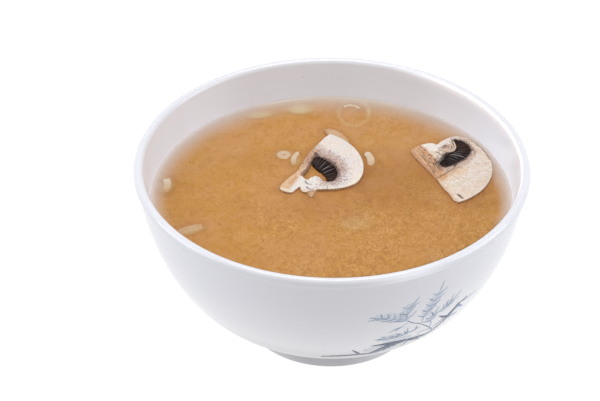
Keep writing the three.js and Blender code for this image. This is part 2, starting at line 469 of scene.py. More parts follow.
def glazeMaterial():
    material, shade = newMaterial("whiteGlaze")
    spot = place(shade)
    cloud = grain(spot, 30, 3)
    across = shade.node("ShaderNodeSeparateXYZ", {}, {0: spot})
    height = across.other(2)
    inside = stored(shade, "inside")
    # the glaze's white, then the painted light and shade laid over it
    white = blend(between(height + cloud * 0.01, 35 * mm, 69 * mm), bowl["whiteLow"], bowl["white"])
    white = layered(white, [
        (between(height, 12 * mm, 35 * mm, 1, 0), bowl["lowShade"]),
        (stored(shade, "lip"), bowl["lip"]),
        (stored(shade, "shoulder"), bowl["shoulder"]),
        (inside, bowl["inside"]),
        (between(height, 58 * mm, 64.5 * mm, 1, 0) * inside, bowl["soupBounce"]),
        (stored(shade, "bright"), bowl["bright"]),
        (stored(shade, "flare"), bowl["flare"]),
    ])
    for k, speck in enumerate(bowl["specks"]):
        size = bowl["speckSize"] * (1 - 0.2 * k) * mm
        away = shade.node("ShaderNodeVectorMath", {"operation": "DISTANCE"},
                          {0: spot, 1: tuple(c * mm for c in speck)}, output=1)
        white = blend(between(away, size, size * 1.6, 1, 0), white, bowl["speck"])
    pits = shade.node("ShaderNodeTexVoronoi", {}, {"Vector": spot, "Scale": 95.0})
    pitted = between(pits, 0.02, 0.035, 0.5, 0) * between(grain(spot, 60, 1), 0.64, 0.66)
    sideways = between(across.maths("ABSOLUTE", across + 2 * mm), 7 * mm, 20 * mm)
    bare = between(height, 0.15 * mm, 0.35 * mm, 1, 0)
    base = layered(white, [
        (pitted, bowl["pit"]),
        # painted shade on the foot ring, lighter towards its sides
        (between(height, 8.6 * mm, 10.6 * mm, 0.9, 0), blend(sideways, bowl["footGrey"], bowl["footPale"])),
    ])
    base = blend(bare, base, blend(grain(spot, 900, 3), bowl["biscuit"], bowl["biscuitPale"]))
    ripple = grain(spot, 90, 2) + grain(spot, 700, 2) * 0.12
    finishMaterial(shade, {
        "Base Color": base,
        "Roughness": between(cloud, 0.3, 0.7, 0.1, 0.2) + bare * 0.6,
        "IOR": 1.5,
        "Normal": bumped(ripple, 0.12, 0.4 * mm),
    })
    return material


def makeBowl():
    profile, turn = bowlProfile()
    points, rings = lathePoints(profile, bowl["segments"])
    points = np.array(points)
    turn = np.concatenate([[value] * len(ring) for value, ring in zip(turn, rings)])
    angle = np.arctan2(points[:, 1], points[:, 0])
    # masks for the painted light and shade on the glaze
    rightward = smoothStep(np.cos(angle - 0.35), 0.55, 0.95)
    brightRight = 0.8 * smoothStep(np.cos(angle + 0.02), 0.7, 0.97)
    brightFar = 0.3 * smoothStep(np.sin(angle), 0.88, 1)
    frontRight = np.exp(-((np.degrees(angle) + 68) / 10) ** 2)
    tones = {
        "lip": smoothStep(turn, -15, 40),
        "inside": smoothStep(turn, 135, 185),
        "flare": rightward * smoothStep(turn, 110, 145) * (1 - smoothStep(turn, 180, 194)),
        "bright": smoothStep(turn, 150, 190) * np.maximum(brightRight, brightFar),
        "shoulder": 0.85 * smoothStep(turn, -45, -12) * (1 - smoothStep(turn, 30, 66)) * frontRight,
    }
    lift = smoothStep(points[:, 2], 10, bowl["height"])
    sway = 1 + lift * bowl["wobble"] / bowl["rimRadius"] * (np.cos(2 * angle + 0.6) - 0.6) * 0.6
    points[:, :2] *= sway[:, None]
    faces = latheFaces(rings)
    piece = meshPiece("bowl_glazed", points, faces, glazeMaterial(), tones)
    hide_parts("bowl")
    print("bowl made,", len(faces), "faces")


soup = {
    "coarse": 0.95,  # spacing of the surface's points
    "fine": 0.42,  # and near what floats in it
    "nearFloat": 2.6,
    "latticeReach": 84,  # rows of points reach past the wall
    "rim": 480,  # points round the edge
    "seed": 11,
    "intoWall": 0.2,  # how far its edge runs on into the wall
    "underGap": 0.05,  # and its underside keeps clear of it
    "wallClimb": 0.3,  # how far it climbs the wall
    "floatClimb": 0.2,
    "climbReach": 1.1,
    "ripple": 0.05,
    "gold": lit(203, 147, 74),
    "tan": lit(205, 150, 94),
    "brown": lit(192, 132, 68),
    "pink": lit(205, 150, 104),
    "pale": lit(211, 160, 104),
    "vein": lit(176, 112, 54),
    "dusk": lit(183, 129, 72),  # the speckle's dark grains
    "bright": lit(221, 168, 108),  # and its bright ones
    "grit": lit(136, 92, 44),  # a few small dark specks
    "shadow": lit(166, 102, 48),  # close to what floats
    "sunkPale": lit(216, 198, 150),
    "sunkDark": lit(178, 134, 66),
    "glintLine": lit(236, 228, 216),
    "brimLine": lit(200, 176, 164),
    "clearFar": lit(207, 198, 188),  # where it thins out to the wall at the far side
    "clearSide": lit(222, 212, 206),  # and at the sides
    "nearShade": (0.8, 0.88, 0.93, 1.0),  # the line of shade the near lip lays on the soup
    "nearLip": {"middle": (-0.33, 23.29), "radius": 75.82},  # the circle that shade follows
    "fadeRight": 5.6,  # how far from the wall the thin soup reaches, at the right
    "fadeLeft": 7.6,
    "fadeFar": 16.6,
    "fadeCurve": (1.0, 1.8),  # how fast it falls off, at the right and elsewhere
    "liftFar": 0.3,  # painted light close to the wall, making up for its shade, at the far side
    "liftFarReach": 2.9,
    "liftSide": 0.2,  # elsewhere
    "liftSideReach": 1.4,
    "liftEdge": 0.2,  # and there right at the wall
    "liftEdgeReach": 0.6,
    "deep": (0.83, 0.77, 0.69, 1.0),  # the broad darker parts, partly painted shadow of the slices, as a share of the soup's own colour
    "leftTone": (1.02, 1.0, 0.86, 1.0),  # and the left part
    "nearTone": (1.0, 0.985, 0.94, 1.0),  # and the near part
    # a painted highlight along the waterline and a darker line: from and to in degrees round, how far in,
    # width, strength
    "gleam": {"from": 94, "to": 117, "offset": (0.6, 2.1), "width": 0.4, "show": 0.5},
    "brim": {"from": -34, "to": 6, "offset": (1.1, 1.1), "width": 0.5, "show": 0.3},
    "pocketFrom": 0.45,  # how far under what floats the surface drops out of sight
    "pocketHeight": 55.4,
}
floats = {  # how far beyond each floating piece the soup is kept down
    "mushroom_centre": 0.0, "mushroom_right": 0.0, "mushroom_centre_gills": 0.55,
    "mushroom_right_gills": 1.7, "spring_onion_1": 0.0, "spring_onion_2": 0.0, "spring_onion_3": 0.0,
    "spring_onion_4": 0.0, "spring_onion_5": 0.0, "spring_onion_6": 0.0,
}
sunk = [  # pieces under the surface: middle, half sizes, turn in degrees, how clear they are
    {"at": (-29.6, 54.6), "half": (5.8, 2.8), "turn": 14, "show": 0.55},
    {"at": (-13.4, 59.2), "half": (5.4, 4.0), "turn": 0, "show": 0.68},
    {"at": (9.0, -19.0), "half": (6.5, 4.5), "turn": 10, "show": 0.2},
    {"at": (-38.0, 30.0), "half": (5.0, 3.0), "turn": 40, "show": 0.05},
    {"at": (-18.6, 26.6), "half": (4.4, 2.6), "turn": 0, "show": 0.3},
    {"at": (-14.2, 21.8), "half": (2.6, 4.0), "turn": 0, "show": 0.3},
    {"at": (-64.0, 3.6), "half": (3.2, 5.6), "turn": 0, "show": 0.4},
    {"at": (-53.0, -25.4), "half": (6.4, 2.4), "turn": 24, "show": 0.4},
]
sunkRing = {
    "at": (8.8, 57.2), "half": (6.1, 9.8), "width": 0.6, "show": 0.22,
    "bright": (22, 34, 0.6),  # where it shows more, in degrees, over how many, and how much
}
deepParts = [  # broad darker parts of the soup, partly painted shadow of the slices: middle, half sizes, strength
    {"at": (23, 8), "half": (32, 24), "show": 1.0},
    {"at": (-4, -10), "half": (24, 11), "show": 0.6},
    {"at": (-27, 22), "half": (14, 9), "show": 0.35},
    {"at": (36, 12), "half": (9, 9), "show": 1.0},
    {"at": (54, -2), "half": (14, 12), "show": 0.75},
]


def floatingDistances(points):
    # for points on the soup: distance to what floats there, negative under it
    away = np.full(len(points), 60.0)  # farther than any of them
    reach = 8.0  # no farther out than this is the distance worked out
    for node, beyond in floats.items():
        tree = flatNode(node)
        low, high = (np.array(corner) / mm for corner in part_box(node))
        near = np.all((points > low[:2] - reach) & (points < high[:2] + reach), axis=1)
        for i in np.nonzero(near)[0]:
            x, y = points[i]
            hit = tree.ray_cast(Vector((x, y, 90)), Vector((0, 0, -1)))
            distance = tree.find_nearest(Vector((x, y, soupLevel - 0.5)))[3] - beyond
            if hit[0] is not None:
                distance = -abs(distance) - beyond - 0.01
            away[i] = min(away[i], distance)
    return away


def beyondLip(points):
    # how far outside the circle of the near lip's shade each point is
    return np.hypot(*(points - soup["nearLip"]["middle"]).T) - soup["nearLip"]["radius"]


def soupPoints(edgeRadius):
    # scattered points in the plane, denser near what floats, the wall and the near lip's shade
    rng = np.random.default_rng(soup["seed"])

    def lattice(step):
        rows = int(soup["latticeReach"] / step) + 2
        i, j = np.meshgrid(np.arange(-rows, rows + 1), np.arange(-rows, rows + 1))
        flat = np.stack([(i + 0.5 * (j % 2)) * step, j * step * 0.866], -1).reshape(-1, 2)
        flat = flat + rng.normal(0, step * 0.08, flat.shape)
        return flat[np.hypot(*flat.T) < edgeRadius - 0.6]

    def dense(points, band, line):
        return (np.hypot(*points.T) > edgeRadius - band) | (np.abs(beyondLip(points) + 0.5) < line)

    coarse, fine = lattice(soup["coarse"]), lattice(soup["fine"])
    coarseAway, fineAway = floatingDistances(coarse), floatingDistances(fine)
    near = soup["nearFloat"]
    keepFine = (np.abs(fineAway) < near) | dense(fine, 3.3, 1.6)
    keepCoarse = (np.abs(coarseAway) >= near + 0.3) & ~dense(coarse, 3.6, 1.9)
    points = np.concatenate([fine[keepFine], coarse[keepCoarse]])
    return points, np.concatenate([fineAway[keepFine], coarseAway[keepCoarse]])


def sunkMask(points):
    # how much of a sunk pale piece shows at each point, and of the dark line under its near edge
    mask, rims = np.zeros(len(points)), np.zeros(len(points))
    for piece in sunk:
        show = piece["show"]
        x, y = (turned(points - piece["at"], piece["turn"]) / piece["half"]).T
        ring, near = np.hypot(x, y), smoothStep(-y, 0.0, 0.7)
        mask = np.maximum(mask, show * (1 - smoothStep(ring, 0.2 + 0.35 * near, 1.35 - 0.25 * near)))
        rims = np.maximum(rims, show * near * (1 - smoothStep(np.abs(ring - 1.08), 0.04, 0.34)))
    x, y = ((points - sunkRing["at"]) / sunkRing["half"]).T
    off = np.abs(np.hypot(x, y) - 1) * np.mean(sunkRing["half"])
    middle, spread, more = sunkRing["bright"]
    show = sunkRing["show"] + more * np.exp(-((np.degrees(np.arctan2(y, x)) - middle) / spread) ** 2)
    return np.maximum(mask, show * (1 - smoothStep(off, 0.2, 2.2 * sunkRing["width"]))), rims


def deepMask(points):
    # how much of the broad darker tone there is at each point
    mask = np.zeros(len(points))
    wander = 1 + 0.25 * roughness(raised(points), 9.0, 3.0)
    for part in deepParts:
        ring = np.hypot(*((points - part["at"]) / part["half"]).T) * wander
        mask = np.maximum(mask, part["show"] * (1 - smoothStep(ring, 0.3, 1.2)))
    return mask


def soupMaterial():
    material, shade = newMaterial("misoSoup")
    spot = place(shade)
    flat = scaled(spot, (1, 1, 0.2))
    across = shade.node("ShaderNodeSeparateXYZ", {}, {0: spot})
    away = across.other(1)
    near = between(away, -30 * mm, 40 * mm, 1, 0.45)
    drift = grain(flat, 50, 2, 0.5, 0.7)
    clouds = grain(flat, 110, 5, 0.62, 0.8)
    wisps = grain(scaled(flat, (1, 0.8, 1)), 360, 4, 0.65, 1.2)
    lumps = grain(scaled(flat, (1, 0.72, 1)), 480, 4, 0.7, 0.9)
    fine = grain(scaled(flat, (1, 0.75, 1)), 1300, 2, 0.6)
    veins = (grain(flat, 120, 3, 0.6, 1.4) - 0.5).maths("ABSOLUTE")
    patches = between(grain(flat, 60, 3), 0.36, 0.64, 0.5, 1.7)
    rough = near * patches * between(across, -48 * mm, -12 * mm, 0.55, 1)
    specks = shade.node("ShaderNodeTexVoronoi", {}, {"Vector": spot, "Scale": 330.0})
    few = between(grain(spot, 140, 2), 0.54, 0.6) * near
    sideways = between(across.maths("ABSOLUTE", across), 12 * mm, 58 * mm)
    tone = layered(blend(between(drift, 0.38, 0.62), soup["tan"], soup["gold"]), [
        (between(clouds, 0.5, 0.68) * 0.5, soup["pale"]),
        (between(clouds, 0.34, 0.48, 0.5, 0), soup["brown"]),
        (between(wisps, 0.52, 0.66) * 0.65, soup["pink"]),
        (between(wisps, 0.36, 0.47, 0.65, 0), soup["brown"]),
        (between(veins, 0.0, 0.035, 0.4, 0) * between(drift, 0.4, 0.6), soup["vein"]),
        (between(lumps, 0.36, 0.48, 0.75, 0) * rough, soup["dusk"]),
        (between(lumps, 0.52, 0.64) * rough * 0.45, soup["bright"]),
        (between(fine, 0.34, 0.5, 0.45, 0) * rough, soup["dusk"]),
        (between(fine, 0.5, 0.66) * rough * 0.3, soup["bright"]),
        (stored(shade, "deep"), soup["deep"], "MULTIPLY"),
        (between(across, -30 * mm, 15 * mm, 1, 0.4), soup["leftTone"], "MULTIPLY"),
        (between(away, -30 * mm, 20 * mm, 1, 0), soup["nearTone"], "MULTIPLY"),
        (stored(shade, "nearShade"), soup["nearShade"], "MULTIPLY"),
        (between(specks, 0.06, 0.24, 0.5, 0) * few, soup["grit"]),
        (between(stored(shade, "toFloat"), 0.0, 4.5, 0.3, 0), soup["shadow"]),
        (stored(shade, "sunkRim") * 0.8, soup["sunkDark"]),
        (stored(shade, "sunk"), soup["sunkPale"]),
        (stored(shade, "thin"), blend(sideways, soup["clearFar"], soup["clearSide"])),
        (stored(shade, "gleam"), soup["glintLine"]),
        (stored(shade, "brim"), soup["brimLine"]),
    ])
    # painted light close to the wall, making up for its shade
    tone = tone.node("ShaderNodeVectorMath", {"operation": "SCALE"}, {0: tone, 3: stored(shade, "lift")})
    finishMaterial(shade, {
        "Base Color": tone,
        "Roughness": between(fine, 0.2, 0.8, 0.16, 0.26),
        "IOR": 1.34,
        "Normal": bumped(clouds * 0.5 + lumps * 0.3 + fine * 0.2, 0.1, 0.3 * mm),
    })
    return material


def rimLine(form, angle, toWall):
    # a thin line along part of the soup's edge
    start, end, width = form["from"], form["to"], form["width"]
    along = 1 - smoothStep(np.abs(angle - (start + end) / 2), (end - start) * 0.15, (end - start) / 2)
    offset = np.interp(angle, (start, end), form["offset"])
    return form["show"] * along * (1 - smoothStep(np.abs(toWall - offset), width * 0.2, width))


def soupEdge(flat, angle, toWall):
    # where the soup is thin enough to show the wall, and the painted light that makes up for the wall's
    # shade there
    far = np.clip(np.sin(np.radians(angle)), 0, 1)
    leftward = smoothStep(-flat[:, 0], -30, 30)
    fade = soup["fadeRight"] + (soup["fadeLeft"] - soup["fadeRight"]) * leftward
    fade += (soup["fadeFar"] - fade) * far
    curve = np.interp(np.maximum(far, leftward), (0, 0.5), soup["fadeCurve"])
    swirl = 1 + 0.1 * roughness(raised(flat, 7.0), 14.0)
    thin = np.clip(1 - toWall * swirl / fade, 0, 1) ** curve
    back, side, edge = (soup[key] * np.exp(-(toWall / soup[key + "Reach"]) ** 2)
                        for key in ("liftFar", "liftSide", "liftEdge"))
    side += edge
    return thin, 1 + side + (back - side) * smoothStep(far, 0.8, 0.97)


def makeSoup():
    inner = innerProfile(60)
    level = soupLevel + soup["wallClimb"]
    wall = inner[bowl["floorSteps"]:]
    radius = float(np.interp(level, wall[:, 1], wall[:, 0])) + soup["intoWall"]
    angles = np.arange(soup["rim"]) * 2 * math.pi / soup["rim"]
    edge = np.stack([radius * np.cos(angles), radius * np.sin(angles)], 1)
    inside, insideAway = soupPoints(radius)
    flat = np.concatenate([edge, inside])
    away = np.concatenate([floatingDistances(edge), insideAway])
    made = delaunay_2d_cdt([Vector(p) for p in flat], [], [], 0, 1e-6)
    order = [originals[0] for originals in made[3]]
    flat, away = flat[order], away[order]
    toWall = radius - np.hypot(*flat.T)
    reach = soup["climbReach"]
    height = soupLevel + soup["wallClimb"] * np.exp(-toWall / reach)
    height += np.where(away > 0, soup["floatClimb"] * np.exp(-away / reach), soup["floatClimb"])
    height += soup["ripple"] * roughness(raised(flat), 9.0)
    height[away < -soup["pocketFrom"]] = soup["pocketHeight"]
    points = np.column_stack([flat, height])
    faces = [tuple(f) for f in made[2]]
    ringOf = {original: k for k, original in enumerate(order) if original < soup["rim"]}
    upper = [ringOf[k] for k in range(soup["rim"])]
    under = innerProfile(24, soup["underGap"])
    more, rings = lathePoints(under[under[:, 1] < soupLevel - 1][::-1], soup["rim"])
    rings = [upper] + [[len(points) + k for k in ring] for ring in rings]
    faces += [f[::-1] for f in latheFaces(rings)]
    angle = np.degrees(np.arctan2(flat[:, 1], flat[:, 0]))
    thin, lift = soupEdge(flat, angle, toWall)
    beyond = beyondLip(flat)
    nearShade = smoothStep(beyond, -1.4, -0.1) * (1 - smoothStep(beyond, 0.3, 5.0))
    pale, rims = sunkMask(flat)
    tones = {  # at the surface's points, and for all the points below it
        "toFloat": (np.maximum(away, 0), 30), "sunk": (pale, 0), "sunkRim": (rims, 0),
        "deep": (deepMask(flat), 0), "nearShade": (nearShade, 0), "lift": (lift, 1), "thin": (thin, 0),
        "gleam": (rimLine(soup["gleam"], angle, toWall), 0),
        "brim": (rimLine(soup["brim"], angle, toWall), 0),
    }
    attributes = {key: np.append(values, [below] * len(more)) for key, (values, below) in tones.items()}
    piece = meshPiece("soup_surface", np.concatenate([points, more]), faces, soupMaterial(),
                      attributes)
    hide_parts("soup")
    print("soup made,", len(faces), "faces")


slices = {
    "mushroom_centre": {
        "foot": (-19.5, 2.5), "crown": (-1.5, 41.5), "side": 1, "seed": 5,
        "stem": [(-2, 2.0), (5, 2.2), (11, 1.9), (17, 1.6), (23, 0.4), (26, 0.6)],
        "stemWidth": 2.9,
        "gillBack": [(21, 3.3), (24.2, 3.2), (24.4, 6.2), (22.4, 11.4), (19.2, 14.8), (15.3, 16.6),
                     (12.1, 16.6), (10.8, 15)],
        "gillFront": [(19.4, 4.2), (17.3, 7), (15.3, 11), (13.6, 13.1), (11.6, 14)],
        "gillSpread": 0.0,  # how far the dark bed runs on in front of the gills
        "gills": 17,
        "bright": (0.42, 0.2),  # where along them the pale edges with their painted highlight are, and how far that runs
        "brownGills": (12.5, 15.5),  # where they are brown, not black
        "haloSize": 9.0,
        "blush": lit(190, 138, 116),  # the tone of the flesh close to the gills
        "pores": 0.4,
        "flesh": lit(246, 233, 222),
        "cool": lit(238, 230, 230),
        "blotch": lit(228, 212, 196),
        "stemPale": lit(244, 208, 168),
        "stemTan": lit(222, 174, 136),
        "streak": (0.6, 0.9, 1.0),  # how the grain of the flesh is drawn out
        "streakTurn": 0,  # degrees from the stem's way
        "streakShow": 0.35,
        "strokes": [  # kind, width, strength, path in u and v
            ("dark", 0.3, 0.9, [(7.6, 6.9), (6.5, 7.8), (6.2, 9.0), (6.4, 10.0)]),
            ("dark", 0.3, 0.9, [(4.3, 8.9), (3.5, 10.2), (3.4, 12.0)]),
            ("shade", 2.0, 0.95, [(24.2, 3.0), (21, 3.4), (17.5, 4.0), (14.0, 4.2), (10.6, 4.0)]),
            ("soot", 2.2, 0.95, [(26.0, 2.4), (24.6, 3.8), (22.6, 4.6)]),
            ("soot", 1.4, 0.7, [(24.9, 6.4), (23.0, 11.6), (19.6, 15.4), (15.6, 17.3)]),
            ("brown", 7.5, 0.5, [(29.6, 1.2), (27.6, 4.6), (26.4, 8.6), (24.6, 12.4), (20.6, 16.0)]),
            ("brown", 1.8, 0.5, [(25, 0.2), (22, 0.9), (19, 1.4), (16, 1.6)]),
            ("gold", 3.0, 0.5, [(-0.4, 1.0), (3.0, 1.4), (8.0, 1.6)]),
            ("rust", 1.8, 0.6, [(3.8, 2.4), (6.0, 2.3), (7.8, 2.8)]),
            ("cream", 1.2, 0.8, [(-0.9, 0.8), (-1.0, 3.5), (-1.2, 6.0)]),
            ("warm", 1.2, 0.8, [(-1, -0.4), (4, -0.6), (9, 0.0), (14, -0.4), (22, -1.4), (28, -1.9)]),
            ("warm", 2.2, 0.6, [(41.4, 0.2), (37.0, 0.0), (33.0, -1.2), (29.0, -1.4)]),
            ("rust", 1.1, 0.8, [(2.4, 14.2), (4.2, 17.6), (6.0, 20.9), (9, 24.0), (14.3, 25.8),
                                (20.6, 26.0)]),
            ("cream", 1.3, 0.8, [(4.4, 13.4), (6.2, 17.2), (8.0, 20.2), (10.6, 22.8), (15.0, 24.4),
                                 (21, 24.6)]),
            ("milk", 2.6, 0.8, [(0.6, 5.0), (4, 4.8), (8.6, 4.6)]),
            ("milk", 4.0, 0.7, [(6, 6.6), (6, 9.5), (10, 10.5)]),
            ("warm", 0.8, 0.55, [(5.4, 12.6), (2.2, 11.2), (1.6, 8.0)]),
            ("rust", 2.4, 0.5, [(2.0, 12.2), (-1.6, 13.0)]),
            ("moss", 1.4, 0.3, [(20, 1.4), (16.4, 1.6), (13.5, 1.9)]),
        ],
    },
    "mushroom_right": {
        "foot": (31.3, 29.8), "crown": (47.5, -5.2), "side": -1, "seed": 8,
        "stem": [(-2, 2.4), (6, 2.4), (12, 2.4), (18, 2.0), (21.6, 1.6)],
        "stemWidth": 3.3,
        "gillBack": [(14.4, 5.4), (16.5, 5.9), (16.8, 9), (15.1, 15.2), (13.2, 18.4), (9.6, 21.7),
                     (5, 22), (2.2, 20.6), (1.2, 19)],
        "gillFront": [(13.4, 6.8), (11.6, 9.2), (8.9, 11.4), (8.2, 14.2), (6.4, 16.6), (3.6, 17.6),
                      (1.9, 18.2)],
        "gillSpread": 1.35,
        "gills": 28,
        "bright": (0.5, 0.16),
        "brownGills": (5.5, 20.5),
        "haloSize": 4.2,
        "blush": lit(158, 116, 86),
        "pores": 0.2,
        "flesh": lit(246, 226, 208),
        "cool": lit(248, 236, 230),
        "blotch": lit(206, 172, 132),
        "stemPale": lit(240, 196, 146),
        "stemTan": lit(204, 142, 98),
        "streak": (0.3, 1.7, 1.0),
        "streakTurn": 34,
        "streakShow": 0.62,
        "strokes": [
            ("dash", 0.34, 0.9, [(-0.2, 4.3), (4.9, 4.7), (9.2, 5.3), (13.7, 5.3)]),
            ("dash", 0.3, 0.9, [(1.1, 3.1), (5.6, 3.2), (11.9, 3.2), (16.1, 2.8)]),
            ("dash", 0.32, 0.8, [(2.0, 1.7), (8, 1.6), (14, 1.3), (19, 0.9)]),
            ("dash", 0.3, 0.7, [(6.0, 4.0), (12, 4.2), (17.0, 3.8)]),
            ("dash", 0.3, 0.7, [(4.0, 2.4), (10, 2.4), (16.0, 2.0), (20, 1.8)]),
            ("milk", 4.6, 1.0, [(0.4, 7.2), (1.4, 9.4), (3.6, 8.2)]),
            ("milk", 2.0, 0.6, [(0.2, 12), (-0.6, 16), (0.2, 20.5)]),
            ("soot", 2.6, 1.0, [(9.6, 10.2), (11.0, 8.6), (12.8, 6.8), (14.8, 6.0)]),
            ("soot", 2.6, 1.0, [(13.4, 5.8), (15.6, 6.8), (16.4, 9.0), (16.2, 12.0)]),
            ("soot", 1.6, 0.9, [(16.6, 8.4), (16.6, 11.0), (15.6, 14.4), (13.2, 18.6), (10.4, 21.6)]),
            ("soot", 1.0, 0.6, [(6.2, 8.2), (7.4, 8.9), (9.0, 8.8)]),
            ("brown", 5.0, 0.6, [(17.2, 4.8), (18.4, 8.0), (18.4, 11.0), (16.8, 14.6), (14.0, 19.0)]),
            ("brown", 1.2, 0.8, [(9.2, 22.6), (12.2, 22.4), (13.9, 21.0)]),
            ("brown", 3.6, 0.8, [(4.2, 14.0), (5.2, 13.4)]),
            ("soot", 2.0, 0.5, [(10.0, 7.0), (13.4, 4.4), (17.0, 4.2)]),
            ("gold", 5.5, 0.5, [(24.2, 2.0), (22.8, 6.2), (21.4, 11.6)]),
            ("rust", 2.4, 0.45, [(22.8, 1.6), (21.8, 5.4), (20.4, 9.0)]),
            ("rust", 1.3, 0.9, [(0.0, -0.3), (8.6, -0.5), (16.1, -0.3), (21.8, 0.2)]),
            ("dark", 0.5, 0.6, [(22.4, 0.4), (21.2, 3.6), (20.0, 6.6), (18.9, 9.4), (17.0, 11.2)]),
            ("dark", 0.6, 1.0, [(17.2, 10.6), (17.3, 11.0)]),
            ("dark", 0.6, 1.0, [(35.0, 2.7), (36.5, 2.9), (38.1, 3.1)]),
            ("dark", 0.34, 0.85, [(-1.0, 20.6), (0.6, 23.0), (3.9, 25.1), (8.3, 25.9), (14.3, 26.1),
                                  (18.9, 25.3)]),
            ("dark", 0.4, 0.9, [(6.4, 12.0), (7.0, 13.2), (6.7, 14.6), (5.4, 15.8)]),
            ("dark", 0.34, 0.8, [(5.4, 9.8), (4.8, 11.4), (4.4, 12.8)]),
            ("dark", 0.34, 0.7, [(4.0, 10.2), (3.9, 12.0), (3.4, 13.4)]),
            ("warm", 1.8, 0.6, [(5.0, 13.6), (4.4, 14.8)]),
            ("warm", 1.3, 0.6, [(23.2, 0.3), (29.3, 0.0), (38.8, 0.4)]),
            ("moss", 2.2, 0.35, [(29.5, 3.8), (28.8, 6.0), (27.4, 11.4)]),
            ("moss", 1.4, 0.35, [(26.0, 5.5), (25.4, 8.4)]),
            ("moss", 1.2, 0.4, [(5.4, 6.6), (6.6, 8.6), (5.8, 11.4)]),
        ],
    },
}
flesh = {
    "voxel": 0.21,
    "softening": 3,
    "bow": 0.2,  # slow unevenness of the cut face
    "fibre": 0.05,
    "crackDepth": 0.4,
    "sideUneven": 0.16,
    "bark": lit(202, 154, 112),  # the skin where it faces up
    "barkPale": lit(228, 194, 158),
    "barkEdge": lit(204, 154, 100),
    "side": colour(198, 140, 98),  # and down the sides, painted lighter for the less light that falls there
    "sidePale": colour(226, 178, 134),
    "edge": lit(150, 100, 66),  # the thin line along the cut's edge
    "tan": lit(184, 134, 106),
    "gold": lit(236, 192, 138),
    "rust": lit(198, 138, 92),
    "soot": lit(54, 34, 32),
    "umber": lit(92, 60, 44),
    "plum": lit(72, 40, 36),
    "maroon": lit(122, 80, 62),
    "speckle": lit(124, 84, 78),
    "peach": lit(226, 178, 136),
    "cream": lit(254, 244, 222),
    "milk": lit(248, 243, 232),
    "moss": lit(206, 196, 150),
}
gillBed = {"voxel": 0.24, "softening": 2, "drop": 0.8, "lower": 0.2, "grow": 0.34}
lamellae = {  # each tone runs between two colours
    "below": 0.25,
    "thickness": 0.26,
    "drop": 0.2,
    "depth": 1.5,
    "steps": 8,
    "top": [(-1, 0.1), (-0.4, 0), (0.4, 0), (1, 0.1)],  # a plate's top edge: across, and how far down
    "dark": (lit(12, 6, 5), lit(50, 27, 23)),
    "brown": (lit(62, 38, 32), lit(104, 76, 64)),
    "joint": (lit(36, 20, 20), lit(96, 64, 54)),  # where a plate meets the flesh
    "litCrest": (lit(176, 156, 152), lit(232, 218, 214)),  # along the plates' pale edges, partly painted highlight
    "crumb": lit(206, 190, 184),
}
curl = {  # the torn veil rolled up in front of the right slice's gills
    "path": [(5.2, 10.2), (7.0, 11.3), (8.0, 12.9), (7.8, 14.9), (6.4, 16.5), (4.5, 17.2), (2.4, 17.7)],
    "middle": (5.0, 13.8),
    "turns": [(1.0, 0.42), (0.72, 0.3), (0.42, 0.26)],  # size of each turn, and its radius
    "height": 59.1,
    "sides": 12,
    "pale": lit(240, 224, 204),
    "tan": lit(222, 184, 150),
    "dark": lit(150, 112, 88),
}


def fineCopy(name, node, voxel, softening):
    # the points in millimetres, the normals and the faces of a fine even copy of a CAD solid
    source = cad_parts[node]
    copy = added(name, source.data.copy())
    remesh = copy.modifiers.new("remesh", "REMESH")
    remesh.mode = "VOXEL"
    remesh.voxel_size = voxel * mm
    soften = copy.modifiers.new("soften", "SMOOTH")
    soften.factor = 0.5
    soften.iterations = softening
    done = copy.evaluated_get(bpy.context.evaluated_depsgraph_get()).to_mesh()
    points = np.array([v.co for v in done.vertices]) / mm
    normals = np.array([v.normal for v in done.vertices])
    faces = [tuple(p.vertices) for p in done.polygons]
    copy.to_mesh_clear()
    bpy.data.objects.remove(copy)
    return points, normals, faces


def sliceAxes(form):
    foot, crown = np.array(form["foot"]), np.array(form["crown"])
    along = (crown - foot) / np.linalg.norm(crown - foot)
    return foot, along, np.array([along[1], -along[0]]) * form["side"]


def toSlice(form, points):
    # place in the slice's own plane: u up the stem from the foot, v out from the cut face
    foot, along, across = sliceAxes(form)
    flat = points[:, :2] - foot
    return np.stack([flat @ along, flat @ across], 1)


def fromSlice(form, plane):
    foot, along, across = sliceAxes(form)
    return foot + plane[:, :1] * along + plane[:, 1:2] * across


def nearest(tree, points):
    return np.array([tree.find_nearest(Vector(p))[3] for p in points])


def edgeTree(node, gillsTree):
    # the outer side faces of a slice, without the walls of its gill hollow
    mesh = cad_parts[node].data
    points = [v.co / mm for v in mesh.vertices]
    sides = []
    for p in mesh.polygons:
        middle = p.center / mm
        if abs(p.normal.z) < 0.5 and gillsTree.find_nearest(middle)[3] > 1.0:
            sides.append(tuple(p.vertices))
    return BVHTree.FromPolygons(points, sides)


def belowCut(points, up):
    # how much of a step below the slice's cut face each point is
    level = points[up > 0.9]
    for _ in range(4):
        base = np.column_stack([level[:, :2], np.ones(len(level))])
        fit = np.linalg.lstsq(base, level[:, 2], rcond=None)[0]
        level = level[level[:, 2] > base @ fit - 0.12]
    under = np.column_stack([points[:, :2], np.ones(len(points))]) @ fit - points[:, 2]
    return smoothStep(under, 0.18, 0.42) * up


def strokeMask(plane, kinds, form):
    # the soft brush marks of some kinds, at points of the slice's plane
    mask = np.zeros(len(plane))
    near = raised(plane, 3.0)
    wander, breaks = roughness(near, 1.1), roughness(near * np.array([1, 0.4, 1]), 0.7, 4.0)
    for kind, width, strength, path in form["strokes"]:
        if kind not in kinds:
            continue
        away = pathDistance(plane, spline(path, 14)) + 0.3 * wander * min(width, 2.0)
        stroke = strength * (1 - smoothStep(away, width * 0.2, width * 0.5 + 0.25))
        if kind == "dash":
            stroke = stroke * smoothStep(breaks, -0.25, 0.1)
        mask = np.maximum(mask, stroke)
    return mask


